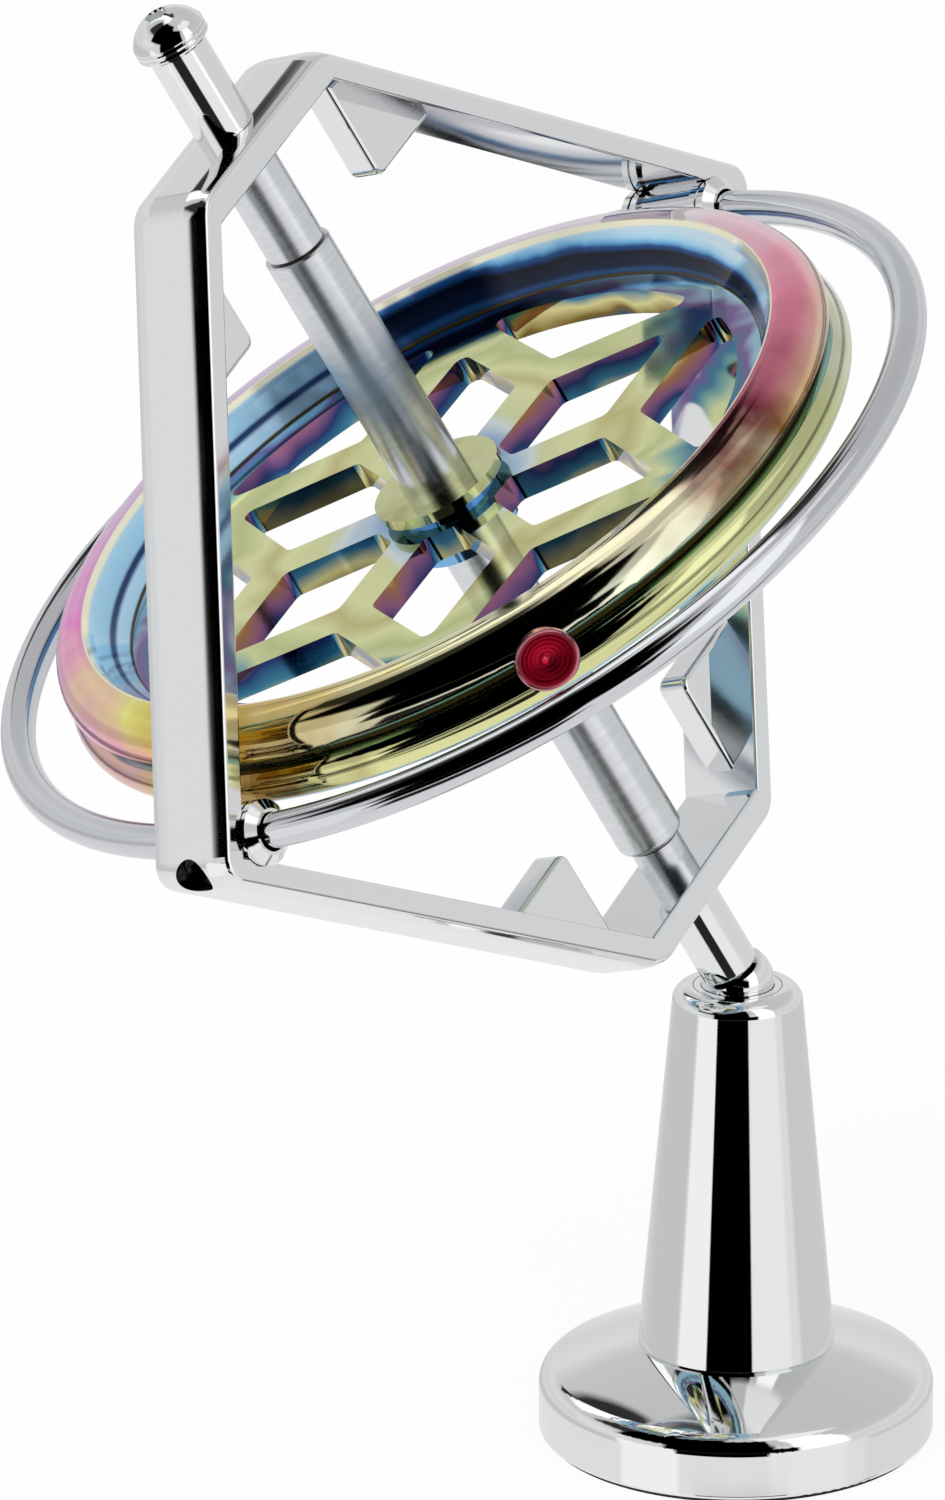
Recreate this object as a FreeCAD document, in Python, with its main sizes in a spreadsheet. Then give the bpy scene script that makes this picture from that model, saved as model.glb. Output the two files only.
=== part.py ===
"""Gyroscope that leans on a turned stand.

The stand's axis is Z and the floor is the plane Z = 0. The gyroscope leans towards -X on a ball
seat at the top of the column. Its own pieces are drawn about the centre of its frame, with the
spindle along their Z and the frame's side corners along their X, and are then put in place together.
"""
import FreeCAD, Part
import math
import os

import Sketcher

# Driving sizes in millimetres and degrees. Heights on the stand start at the floor, and heights on
# the gyroscope start at the centre of its frame and run along the spindle.
DIMENSIONS = {
    # foot
    "foot_radius": 13.3,
    "foot_lift": 0.3,
    "foot_edge_height": 4.39,
    "foot_edge_round": 1.45,
    "foot_base_round": 0.3,
    "foot_lip": 0.45,
    "dome_curvature": 32.4,
    "dome_height": 6.56,
    "pad_thickness": 0.9,
    "pad_clearance": 0.05,
    # column
    "column_base_radius": 6.625,
    "column_top_radius": 4.28,
    "column_top_height": 32.0,
    "column_shoulder_round": 1.05,
    "column_base_chamfer": 0.2,
    # screw that holds the column from below
    "screw_radius": 1.5,
    "screw_length": 12.0,
    "screw_head_radius": 2.75,
    "screw_head_height": 1.8,
    "screw_socket_width": 2.0,
    "screw_socket_depth": 1.1,
    "screw_hole_clearance": 0.2,
    "screw_thread_clearance": 0.02,
    "screw_tip_room": 1.5,
    "washer_thickness": 0.5,
    "washer_radius": 2.95,
    "head_recess_clearance": 0.3,
    "head_recess_height": 3.6,
    # ball seat
    "ball_radius": 2.45,
    "ball_clearance": 0.05,
    "ball_rise": 0.3,
    "ball_neck_height": 0.95,
    "cup_radius": 2.95,
    "cup_clearance": 0.05,
    "cup_length": 5.0,
    "pin_radius": 1.1,
    "pin_clearance": 0.03,
    "pin_length": 1.75,
    "pin_room": 0.2,
    # attitude of the gyroscope
    "lean_angle": 29.3,
    "turn_angle": 38.3,
    # frame
    "corner_beyond_ring": 4.81,
    "frame_half_height": 32.1,
    "flat_half_width": 8.14,
    "frame_depth": 6.28,
    "arm_thickness": 1.9,
    "flat_thickness": 2.35,
    "outer_edge_run": 1.1,
    "outer_edge_drop": 0.35,
    "outer_edge_blend": 3.5,
    "outer_edge_round": 0.35,
    "inner_edge_round": 0.2,
    "side_corner_round": 1.8,
    "flat_corner_round": 2.7,
    "tooth_tip_outset": 0.56,
    "tooth_tip_drop": 8.55,
    "tooth_thickness": 2.4,
    "tooth_tip_round": 0.8,
    "tooth_edge_round": 0.35,
    "lug_radius": 1.9,
    "lug_depth": 4.6,
    # guard ring
    "ring_wheel_gap": 3.056,
    "ring_bar_radius": 1.164,
    "ring_clearance": 0.03,
    "ring_end_angle": 0.2,
    "collar_radius": 2.15,
    "collar_groove_radius": 1.85,
    "collar_nose_radius": 1.5,
    "collar_disc_length": 0.5,
    "collar_groove_length": 0.2,
    "collar_nose_length": 0.5,
    "collar_clearance": 0.12,
    "collar_seat_clearance": 0.05,
    "seat_gap": 0.02,
    "grub_radius": 1.25,
    "grub_hole_clearance": 0.05,
    "grub_length": 2.0,
    "grub_socket_width": 1.3,
    "grub_socket_depth": 0.9,
    # posts and ball heads
    "post_radius": 1.99,
    "post_end_round": 0.2,
    "upper_post_length": 6.7,
    "lower_post_length": 6.35,
    "post_to_ball": 1.15,
    "spigot_radius": 1.15,
    "spigot_clearance": 0.05,
    "upper_spigot_depth": 1.7,
    "lower_spigot_depth": 0.75,
    "head_spigot_length": 1.2,
    "head_radius": 2.5,
    "head_collar_height": 0.95,
    "head_dome_height": 1.65,
    "head_groove_depth": 0.12,
    "head_chamfer": 0.15,
    "head_socket_width": 1.5,
    "head_socket_depth": 1.0,
    # spindle
    "shaft_radius": 1.0,
    "shaft_chamfer": 0.2,
    "press_gap": 0.01,
    "bearing_clearance": 0.03,
    "upper_tube_length": 7.15,
    "upper_tube_radius": 2.04,
    "upper_bush_radius": 1.6,
    "upper_bush_length": 4.0,
    "lower_stub_length": 2.35,
    "lower_stub_radius": 1.75,
    "lower_bush_radius": 1.4,
    "lower_bush_length": 1.3,
    "bush_setback": 0.1,
    "shaft_end_room": 0.3,
    "sleeve_radius": 2.31,
    "sleeve_round": 0.5,
    "sleeve_edge": 0.12,
    "end_play": 0.2,
    # flywheel
    "web_top": 2.0,
    "web_thickness": 1.9,
    "hub_top": 3.3,
    "hub_bottom": 1.2,
    "hub_radius": 4.5,
    "hub_flange_thickness": 0.7,
    "hub_neck_radius": 3.7,
    "rim_wall_run": 2.1,
    "rim_band_width": 1.8,
    "rim_bevel_width": 0.45,
    "rim_bevel_drop": 0.7,
    "rim_bottom": 1.0,
    "lower_bead_radius": 28.62,
    "lower_bead_height": 2.3,
    "lower_bead_bulge": 0.62,
    "rim_groove_width": 0.9,
    "rim_groove_depth": 1.2,
    "rim_groove_flare": 0.2,
    "upper_bead_step": 0.32,
    "upper_bead_width": 3.0,
    "upper_bead_round": 2.5,
    "upper_bead_edge": 0.23,
    "spoke_width": 2.9,
    "fork_radius": 12.6,
    "window_hub_gap": 0.4,
    "window_corner_round": 0.7,
    "spoke_angle": 57.0,
    "stud_radius": 2.1,
    "stud_setback": 0.12,
    "stud_length": 2.2,
    "stud_clearance": 0.01,
    "stud_dish_depth": 0.35,
    "stud_rim_width": 0.3,
    "stud_height": 1.6,
    "stud_angle": 225.5,
}

SPOKES = 6
STUDS = 2
SHEET = "dims"

doc = FreeCAD.newDocument("gyroscope")
sheet = doc.addObject("Spreadsheet::Sheet", SHEET)
for row, (name, number) in enumerate(DIMENSIONS.items(), start=1):
    sheet.set(f"A{row}", name)
    sheet.set(f"B{row}", str(number))
    sheet.setAlias(f"B{row}", name)
doc.recompute()


class Size:
    """A size worked out from the sheet: its number, and the expression that binds it."""

    def __init__(self, number, text):
        self.number = number
        self.text = text

    def __add__(self, other):
        other = as_size(other)
        return Size(self.number + other.number, f"({self.text} + {other.text})")

    def __sub__(self, other):
        other = as_size(other)
        return Size(self.number - other.number, f"({self.text} - {other.text})")

    def __mul__(self, other):
        other = as_size(other)
        return Size(self.number * other.number, f"({self.text} * {other.text})")

    def __truediv__(self, other):
        other = as_size(other)
        return Size(self.number / other.number, f"({self.text} / {other.text})")

    def __neg__(self):
        return Size(-self.number, f"(-1 * {self.text})")

    def __rmul__(self, other):
        return as_size(other) * self


def as_size(value):
    return value if isinstance(value, Size) else Size(float(value), repr(float(value)))


def root(size):
    return Size(math.sqrt(size.number), f"sqrt({size.text})")


def sine(angle):
    return Size(math.sin(math.radians(angle.number)), f"sin({angle.text} * 1 deg)")


def cosine(angle):
    return Size(math.cos(math.radians(angle.number)), f"cos({angle.text} * 1 deg)")


def arc_sine(size):
    return Size(math.degrees(math.asin(size.number)), f"(asin({size.text}) / 1 deg)")


def rise_on_circle(radius, across):
    """How far a circle of this radius stands above its centre at the distance across."""
    return root(radius * radius - across * across)


def round_of(half_width, rise):
    """Radius of the arc that rises this much above a chord of this half width."""
    return (half_width * half_width + rise * rise) / (rise * 2)


class Sizes:
    """The sheet's sizes by name."""

    def __getattr__(self, name):
        return Size(DIMENSIONS[name], f"{SHEET}.{name}")


S = Sizes()
ZERO = as_size(0)


# ---------------------------------------------------------------- sizes that follow from others

BALL_HEIGHT = S.column_top_height + S.ball_rise

RING_RADIUS = S.lower_bead_radius + S.ring_wheel_gap + S.ring_bar_radius
FRAME_HALF_WIDTH = RING_RADIUS + S.corner_beyond_ring
ARM_RUN = FRAME_HALF_WIDTH - S.flat_half_width
ARM_RISE = S.frame_half_height
ARM_LENGTH = root(ARM_RUN * ARM_RUN + ARM_RISE * ARM_RISE)
INNER_HALF_WIDTH = FRAME_HALF_WIDTH - S.arm_thickness * ARM_LENGTH / ARM_RISE
INNER_HALF_HEIGHT = S.frame_half_height - S.flat_thickness
TOOTH_TIP_SIDE = S.flat_half_width + S.tooth_tip_outset
TOOTH_TIP_HEIGHT = INNER_HALF_HEIGHT - S.tooth_tip_drop

UPPER_POST_HEIGHT = S.frame_half_height + S.upper_post_length
LOWER_POST_HEIGHT = S.frame_half_height + S.lower_post_length
BALL_TO_CENTRE = LOWER_POST_HEIGHT + S.post_to_ball
UPPER_TUBE_END = INNER_HALF_HEIGHT - S.upper_tube_length
LOWER_STUB_END = INNER_HALF_HEIGHT - S.lower_stub_length
UPPER_SPIGOT_TIP = INNER_HALF_HEIGHT - S.upper_spigot_depth
LOWER_SPIGOT_TIP = INNER_HALF_HEIGHT - S.lower_spigot_depth
SPIGOT_HOLE_RADIUS = S.spigot_radius + S.spigot_clearance

COLLAR_LENGTH = S.collar_disc_length * 2 + S.collar_groove_length + S.collar_nose_length
COLLAR_START = S.lug_depth / 2 + S.seat_gap
COLLAR_ACROSS = RING_RADIUS * cosine(arc_sine((COLLAR_START + COLLAR_LENGTH / 2) / RING_RADIUS))

UPPER_BEAD_RADIUS = S.lower_bead_radius - S.upper_bead_step
RIM_LIP_RADIUS = UPPER_BEAD_RADIUS - S.upper_bead_width
RIM_WALL_RADIUS = RIM_LIP_RADIUS - S.rim_wall_run
WINDOW_END_RADIUS = RIM_WALL_RADIUS - S.rim_band_width
WEB_BOTTOM = S.web_top - S.web_thickness
RIM_GROOVE_LOW = S.lower_bead_height - S.rim_bottom
RIM_GROOVE_HIGH = RIM_GROOVE_LOW + S.rim_groove_width
UPPER_BEAD_LOW = RIM_GROOVE_HIGH + S.upper_bead_edge
RIM_TOP = UPPER_BEAD_LOW + S.upper_bead_round
SHAFT_BORE = S.shaft_radius + S.press_gap
STUD_BASE_RADIUS = S.lower_bead_radius - S.stud_setback - S.stud_length


# ---------------------------------------------------------------- places

def place(offset, *turns):
    """Expression of a placement: an offset, then turns about an axis, the last one made first."""
    turned = " * ".join(
        f"create(<<rotation>>; create(<<vector>>; {x}; {y}; {z}); {as_size(angle).text})"
        for (x, y, z), angle in turns
    ) or "create(<<rotation>>; create(<<vector>>; 0; 0; 1); 0)"
    ox, oy, oz = (as_size(value).text for value in offset)
    return f"create(<<placement>>; create(<<vector>>; {ox}; {oy}; {oz}); {turned})"


X_AXIS = (1, 0, 0)
Y_AXIS = (0, 1, 0)
Z_AXIS = (0, 0, 1)

FRAME_CENTRE = (
    -(BALL_TO_CENTRE * sine(S.lean_angle)),
    0,
    BALL_HEIGHT + BALL_TO_CENTRE * cosine(S.lean_angle),
)
STAND = place((0, 0, 0))
GYRO = place(FRAME_CENTRE, (Y_AXIS, -S.lean_angle), (Z_AXIS, S.turn_angle))
# The flywheel's own X points at one of its studs.
WHEEL = place(FRAME_CENTRE, (Y_AXIS, -S.lean_angle), (Z_AXIS, S.turn_angle + S.stud_angle))


# ---------------------------------------------------------------- drawing helpers

def bind(thing, path, size):
    thing.setExpression(path, as_size(size).text)


def new_body(label):
    body = doc.addObject("PartDesign::Body", label)
    body.Label = label
    return body


def new_sketch(body, role, name):
    """A sketch on one of the body's own origin planes."""
    sketch = body.newObject("Sketcher::SketchObject", name)
    plane = next(item for item in body.Origin.OriginFeatures if item.Role == role)
    sketch.AttachmentSupport = [(plane, "")]
    sketch.MapMode = "FlatFace"
    return sketch


def fix(sketch, constraint, name, size):
    index = sketch.addConstraint(constraint)
    sketch.renameConstraint(index, name)
    bind(sketch, f"Constraints.{name}", size)


def pin_point(sketch, geometry, end, point):
    """Holds one end of a line or arc at its sized place."""
    across, up = point
    tag = f"{geometry}_{end}"
    fix(sketch, Sketcher.Constraint("DistanceX", geometry, end, across.number), f"across_{tag}", across)
    fix(sketch, Sketcher.Constraint("DistanceY", geometry, end, up.number), f"up_{tag}", up)


def arc_centre(start, end, radius, left):
    """Centre of the arc from start to end that turns left, or else right."""
    middle = (start + end) / 2
    chord = end - start
    reach = math.sqrt(max(radius ** 2 - (chord.Length / 2) ** 2, 0.0))
    normal = FreeCAD.Vector(-chord.y, chord.x, 0).normalize()
    return middle + normal * (reach if left else -reach)


def draw(sketch, points, arcs=None):
    """Closed outline through sized points. arcs gives (radius, left) by the number of its start."""
    arcs = arcs or {}
    points = [(as_size(across), as_size(up)) for across, up in points]
    corners = [FreeCAD.Vector(across.number, up.number, 0) for across, up in points]
    ends = []
    for index, start in enumerate(corners):
        end = corners[(index + 1) % len(corners)]
        if index not in arcs:
            ends.append((sketch.addGeometry(Part.LineSegment(start, end)), 1, 2))
            continue
        radius, left = arcs[index]
        centre = arc_centre(start, end, as_size(radius).number, left)
        first, last = (start, end) if left else (end, start)
        circle = Part.Circle(centre, FreeCAD.Vector(0, 0, 1), as_size(radius).number)
        arc = Part.ArcOfCircle(circle, circle.parameter(first), circle.parameter(last))
        number = sketch.addGeometry(arc)
        ends.append((number, 1, 2) if left else (number, 2, 1))
        fix(sketch, Sketcher.Constraint("Radius", number, as_size(radius).number), f"radius_{number}", radius)
    for index, (number, first, last) in enumerate(ends):
        following, following_first, _ = ends[(index + 1) % len(ends)]
        sketch.addConstraint(Sketcher.Constraint("Coincident", number, last, following, following_first))
        pin_point(sketch, number, first, points[index])


def draw_circle(sketch, centre, radius):
    across, up = (as_size(value) for value in centre)
    middle = FreeCAD.Vector(across.number, up.number, 0)
    circle = Part.Circle(middle, FreeCAD.Vector(0, 0, 1), as_size(radius).number)
    number = sketch.addGeometry(circle)
    pin_point(sketch, number, 3, (across, up))
    fix(sketch, Sketcher.Constraint("Radius", number, circle.Radius), f"radius_{number}", radius)


def draw_hexagon(sketch, width):
    """Hexagon of this width across its flats, about the sketch's origin."""
    corner_radius = width / root(as_size(3))
    points = []
    for index in range(6):
        angle = as_size(60 * index)
        points.append((corner_radius * cosine(angle), corner_radius * sine(angle)))
    draw(sketch, points)


def revolve(body, sketch, name, axis="V_Axis"):
    feature = body.newObject("PartDesign::Revolution", name)
    feature.Profile = sketch
    feature.ReferenceAxis = (sketch, [axis])
    feature.Angle = 360
    doc.recompute()
    return feature


def pad(body, sketch, name, length):
    """Thickens a sketch by half the length to each side."""
    feature = body.newObject("PartDesign::Pad", name)
    feature.Profile = sketch
    feature.SideType = "Symmetric"
    bind(feature, "Length", length)
    doc.recompute()
    return feature


def must_cut(body, feature, before):
    doc.recompute()
    if not body.Shape.Volume < before - 1e-6:
        raise RuntimeError(f"{feature.Label} of {body.Label} cuts nothing")
    return feature


def pocket_through(body, sketch, name):
    before = body.Shape.Volume
    feature = body.newObject("PartDesign::Pocket", name)
    feature.Profile = sketch
    feature.Type = "ThroughAll"
    feature.SideType = "Symmetric"
    return must_cut(body, feature, before)


def pocket_down(body, sketch, name, depth):
    """Cuts from the sketch against its normal."""
    before = body.Shape.Volume
    feature = body.newObject("PartDesign::Pocket", name)
    feature.Profile = sketch
    bind(feature, "Length", depth)
    return must_cut(body, feature, before)


def pocket_out(body, sketch, name, up):
    """Cuts from the sketch all the way out, along its normal or against it."""
    before = body.Shape.Volume
    feature = body.newObject("PartDesign::Pocket", name)
    feature.Profile = sketch
    feature.Type = "ThroughAll"
    feature.Reversed = up
    return must_cut(body, feature, before)


def groove(body, sketch, name, axis="V_Axis"):
    before = body.Shape.Volume
    feature = body.newObject("PartDesign::Groove", name)
    feature.Profile = sketch
    feature.ReferenceAxis = (sketch, [axis])
    feature.Angle = 360
    return must_cut(body, feature, before)


def around(body, feature, count):
    """Repeats a feature evenly about the body's Z axis."""
    doc.recompute()
    pattern = body.newObject("PartDesign::PolarPattern", f"{feature.Name}_round")
    pattern.Originals = [feature]
    axis = next(item for item in body.Origin.OriginFeatures if item.Role == "Z_Axis")
    pattern.Axis = (axis, [""])
    pattern.Angle = 360
    pattern.Occurrences = count
    body.Tip = pattern
    doc.recompute()
    return pattern


def dress_edges(body, kind, name, chosen):
    """Feature of this kind on the edges of the body that the test chooses."""
    doc.recompute()
    base = body.Tip
    edges = [f"Edge{number}" for number, edge in enumerate(base.Shape.Edges, start=1) if chosen(edge)]
    if not edges:
        raise RuntimeError(f"{name} of {body.Label} finds no edge")
    feature = body.newObject(kind, name)
    feature.Base = (base, edges)
    body.Tip = feature
    return feature


def round_edges(body, name, radius, chosen):
    """Rounds the edges of the body that the test chooses."""
    feature = dress_edges(body, "PartDesign::Fillet", name, chosen)
    bind(feature, "Radius", radius)
    doc.recompute()


def bevel_edges(body, name, sizes, chosen):
    """Cuts a bevel of two widths along the edges of the body that the test chooses."""
    feature = dress_edges(body, "PartDesign::Chamfer", name, chosen)
    feature.ChamferType = "Two distances"
    for path, size in zip(("Size", "Size2"), sizes):
        bind(feature, path, size)
    doc.recompute()


def raised(sketch, height):
    """Lifts a sketch off its plane along the plane's normal."""
    bind(sketch, "AttachmentOffset.Base.z", height)


def turned(label, points, arcs=None, where=GYRO):
    """A piece turned about its Z axis from an outline of radius and height."""
    body = new_body(label)
    sketch = new_sketch(body, "XZ_Plane", f"{label}_outline")
    draw(sketch, points, arcs)
    revolve(body, sketch, f"{label}_turned")
    body.setExpression("Placement", where)
    return body


def bar(inner, outer, low, high):
    """Outline of a plain ring or, with no inner radius, of a plain bar."""
    return [(inner, low), (outer, low), (outer, high), (inner, high)]


def mirrored(source, name, normal, label=None):
    """The source seen in a plane through the origin."""
    mirror = doc.addObject("Part::Mirroring", name)
    mirror.Source = source
    mirror.Base = FreeCAD.Vector(0, 0, 0)
    for letter, value in zip("xyz", normal):
        bind(mirror, f"Normal.{letter}", value)
    mirror.Label = label or name
    doc.recompute()
    return mirror


def grouped(label, pieces, where=GYRO):
    """Like pieces as one node of separate solids."""
    group = doc.addObject("Part::Compound", label)
    group.Label = label
    group.Links = pieces
    group.setExpression("Placement", where)
    doc.recompute()
    return group


# ---------------------------------------------------------------- stand

PAD_RECESS_RADIUS = S.foot_radius - S.foot_lip
PAD_RADIUS = PAD_RECESS_RADIUS - S.pad_clearance
SHANK_HOLE_RADIUS = S.screw_radius + S.screw_hole_clearance
HEAD_RECESS_RADIUS = S.washer_radius + S.head_recess_clearance
HEAD_TOP = S.head_recess_height - S.washer_thickness
SCREW_TIP = HEAD_TOP + S.screw_length


def make_foot():
    """Heavy turned foot: domed on top, with a flat for the column and a recess for the pad."""
    body = new_body("foot")
    sketch = new_sketch(body, "XZ_Plane", "foot_outline")
    draw(
        sketch,
        [
            (HEAD_RECESS_RADIUS, S.pad_thickness),
            (PAD_RECESS_RADIUS, S.pad_thickness),
            (PAD_RECESS_RADIUS, S.foot_lift),
            (S.foot_radius, S.foot_lift),
            (S.foot_radius, S.foot_edge_height),
            (S.column_base_radius, S.dome_height),
            (SHANK_HOLE_RADIUS, S.dome_height),
            (SHANK_HOLE_RADIUS, S.head_recess_height),
            (HEAD_RECESS_RADIUS, S.head_recess_height),
        ],
        {4: (S.dome_curvature, True)},
    )
    revolve(body, sketch, "foot_turned")
    outer = S.foot_radius.number

    def at_rim(height):
        return lambda edge: (
            edge.Closed
            and abs(edge.BoundBox.XMax - outer) < 1e-4
            and abs(edge.BoundBox.ZMin - height) < 1e-4
        )

    round_edges(body, "foot_edge", S.foot_edge_round, at_rim(S.foot_edge_height.number))
    round_edges(body, "foot_base_edge", S.foot_base_round, at_rim(S.foot_lift.number))
    body.setExpression("Placement", STAND)
    return body


def make_foot_pad():
    """Cork-rubber disc pressed into the foot. The whole stand rests on it."""
    return turned("foot_pad", bar(ZERO, PAD_RADIUS, ZERO, S.pad_thickness), where=STAND)


def make_column():
    """Tapered column with a tapped hole below and a bore for the seat cup above."""
    bore = S.cup_radius + S.cup_clearance
    thread = S.screw_radius + S.screw_thread_clearance
    bore_floor = S.column_top_height - S.cup_length - S.cup_clearance
    body = turned(
        "column",
        [
            (thread, S.dome_height),
            (S.column_base_radius - S.column_base_chamfer, S.dome_height),
            (S.column_base_radius, S.dome_height + S.column_base_chamfer),
            (S.column_top_radius, S.column_top_height),
            (bore, S.column_top_height),
            (bore, bore_floor),
            (ZERO, bore_floor),
            (ZERO, SCREW_TIP + S.screw_tip_room),
            (thread, SCREW_TIP + S.screw_tip_room),
        ],
        where=STAND,
    )
    top = S.column_top_height.number
    rim = S.column_top_radius.number
    round_edges(
        body,
        "column_shoulder",
        S.column_shoulder_round,
        lambda edge: edge.Closed and abs(edge.BoundBox.ZMin - top) < 1e-4 and edge.BoundBox.XMax > rim - 1e-4,
    )
    return body


def make_column_screw():
    """Socket-head screw that draws the column down on the foot."""
    head_bottom = HEAD_TOP - S.screw_head_height
    body = turned(
        "column_screw",
        [
            (ZERO, head_bottom),
            (S.screw_head_radius - S.head_chamfer, head_bottom),
            (S.screw_head_radius, head_bottom + S.head_chamfer),
            (S.screw_head_radius, HEAD_TOP),
            (S.screw_radius, HEAD_TOP),
            (S.screw_radius, SCREW_TIP - S.head_chamfer),
            (S.screw_radius - S.head_chamfer, SCREW_TIP),
            (ZERO, SCREW_TIP),
        ],
        where=STAND,
    )
    socket = new_sketch(body, "XY_Plane", "column_screw_socket")
    raised(socket, head_bottom + S.screw_socket_depth)
    draw_hexagon(socket, S.screw_socket_width)
    pocket_down(body, socket, "column_screw_drive", S.screw_socket_depth)
    return body


def make_column_washer():
    """Flat washer between the screw's head and the foot."""
    outline = bar(SHANK_HOLE_RADIUS, S.washer_radius, HEAD_TOP, S.head_recess_height)
    return turned("column_washer", outline, where=STAND)


def make_seat_cup():
    """Hard cup in the column's bore, hollowed to the ball."""
    hollow = S.ball_radius + S.ball_clearance
    rim = rise_on_circle(hollow, BALL_HEIGHT - S.column_top_height)
    return turned(
        "seat_cup",
        [
            (ZERO, S.column_top_height - S.cup_length),
            (S.cup_radius, S.column_top_height - S.cup_length),
            (S.cup_radius, S.column_top_height),
            (rim, S.column_top_height),
            (ZERO, BALL_HEIGHT - hollow),
        ],
        {3: (hollow, False)},
        where=STAND,
    )


# ---------------------------------------------------------------- frame and guard ring

def inner_arm_side(height):
    """Distance from the spindle to an arm's inner face at this height."""
    return INNER_HALF_WIDTH - height * ARM_RUN / ARM_RISE


def inner_arm_height(side):
    """Height of an arm's inner face at this distance from the spindle."""
    return (INNER_HALF_WIDTH - side) * ARM_RISE / ARM_RUN


def hexagon_of(half_width, flat_half, half_height):
    return [
        (half_width, ZERO),
        (flat_half, half_height),
        (-flat_half, half_height),
        (-half_width, ZERO),
        (-flat_half, -half_height),
        (flat_half, -half_height),
    ]


def is_cross_edge(edge):
    """Whether an edge runs straight through the frame's depth."""
    box = edge.BoundBox
    return box.YLength > 1e-3 and box.XLength < 1e-4 and box.ZLength < 1e-4


def make_frame():
    """Six-sided bar frame with four teeth, two ring lugs and its screw holes."""
    body = new_body("gyro_frame")
    outline = new_sketch(body, "XZ_Plane", "frame_outline")
    draw(outline, hexagon_of(FRAME_HALF_WIDTH, S.flat_half_width, S.frame_half_height))
    inner_flat = inner_arm_side(INNER_HALF_HEIGHT)
    draw(outline, hexagon_of(INNER_HALF_WIDTH, inner_flat, INNER_HALF_HEIGHT))
    pad(body, outline, "frame_band", S.frame_depth)

    side = FRAME_HALF_WIDTH.number
    tall = S.frame_half_height.number
    half_depth = S.frame_depth.number / 2
    round_edges(
        body,
        "side_corners",
        S.side_corner_round,
        lambda edge: is_cross_edge(edge) and abs(abs(edge.BoundBox.Center.x) - side) < 1e-3,
    )
    round_edges(
        body,
        "flat_corners",
        S.flat_corner_round,
        lambda edge: is_cross_edge(edge) and abs(abs(edge.BoundBox.Center.z) - tall) < 1e-3,
    )
    middle_side = (side + INNER_HALF_WIDTH.number) / 2
    middle_tall = (tall + INNER_HALF_HEIGHT.number) / 2
    arm_slant = ARM_RUN.number / ARM_RISE.number

    def is_lengthwise(edge, depth):
        return edge.BoundBox.YLength < 1e-4 and abs(abs(edge.BoundBox.YMin) - depth) < 1e-3

    def is_outer(edge):
        point = edge.CenterOfMass
        return abs(point.z) > middle_tall or abs(point.x) + abs(point.z) * arm_slant > middle_side

    bevel_edges(
        body,
        "outer_bevels",
        (S.outer_edge_run, S.outer_edge_drop),
        lambda edge: is_lengthwise(edge, half_depth) and is_outer(edge),
    )
    round_edges(
        body,
        "outer_blends",
        S.outer_edge_blend,
        lambda edge: is_lengthwise(edge, half_depth - S.outer_edge_run.number),
    )
    round_edges(
        body,
        "outer_edges",
        S.outer_edge_round,
        lambda edge: is_lengthwise(edge, half_depth) and is_outer(edge),
    )
    round_edges(
        body,
        "inner_edges",
        S.inner_edge_round,
        lambda edge: is_lengthwise(edge, half_depth) and not is_outer(edge),
    )

    teeth = new_sketch(body, "XZ_Plane", "teeth_outline")
    root_depth = S.arm_thickness / 2
    low = inner_arm_side(TOOTH_TIP_HEIGHT) + root_depth
    high = inner_arm_height(TOOTH_TIP_SIDE) + root_depth
    for across in (1, -1):
        for up in (1, -1):
            draw(
                teeth,
                [
                    (across * TOOTH_TIP_SIDE, up * TOOTH_TIP_HEIGHT),
                    (across * low, up * TOOTH_TIP_HEIGHT),
                    (across * TOOTH_TIP_SIDE, up * high),
                ],
            )
    pad(body, teeth, "teeth", S.tooth_thickness)
    tip_side = TOOTH_TIP_SIDE.number
    tip_height = TOOTH_TIP_HEIGHT.number
    round_edges(
        body,
        "tooth_tips",
        S.tooth_tip_round,
        lambda edge: is_cross_edge(edge)
        and abs(abs(edge.BoundBox.Center.x) - tip_side) < 1e-3
        and abs(abs(edge.BoundBox.Center.z) - tip_height) < 1e-3,
    )
    round_edges(
        body,
        "tooth_edges",
        S.tooth_edge_round,
        lambda edge: is_lengthwise(edge, S.tooth_thickness.number / 2)
        and (min(edge.BoundBox.XLength, edge.BoundBox.ZLength) < 1e-4 or isinstance(edge.Curve, Part.Circle)),
    )

    lugs = new_sketch(body, "XZ_Plane", "lug_outline")
    for across in (1, -1):
        draw(
            lugs,
            [
                (across * INNER_HALF_WIDTH, -S.lug_radius),
                (across * INNER_HALF_WIDTH, S.lug_radius),
                (across * RING_RADIUS, S.lug_radius),
                (across * (RING_RADIUS - S.lug_radius), ZERO),
                (across * RING_RADIUS, -S.lug_radius),
            ],
            {2: (S.lug_radius, across > 0), 3: (S.lug_radius, across > 0)},
        )
    pad(body, lugs, "lugs", S.lug_depth)

    for name, height, up in (("front", S.lug_depth / 2, True), ("rear", -S.lug_depth / 2, False)):
        seats = new_sketch(body, "XZ_Plane", f"{name}_collar_seat_outline")
        raised(seats, height)
        for across in (1, -1):
            draw_circle(seats, (across * COLLAR_ACROSS, ZERO), S.collar_radius + S.collar_seat_clearance)
        pocket_out(body, seats, f"{name}_collar_seats", up)

    ring_bore = new_sketch(body, "XZ_Plane", "ring_bore_outline")
    draw_circle(ring_bore, (RING_RADIUS, ZERO), S.ring_bar_radius + S.ring_clearance)
    groove(body, ring_bore, "ring_bore")

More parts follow.
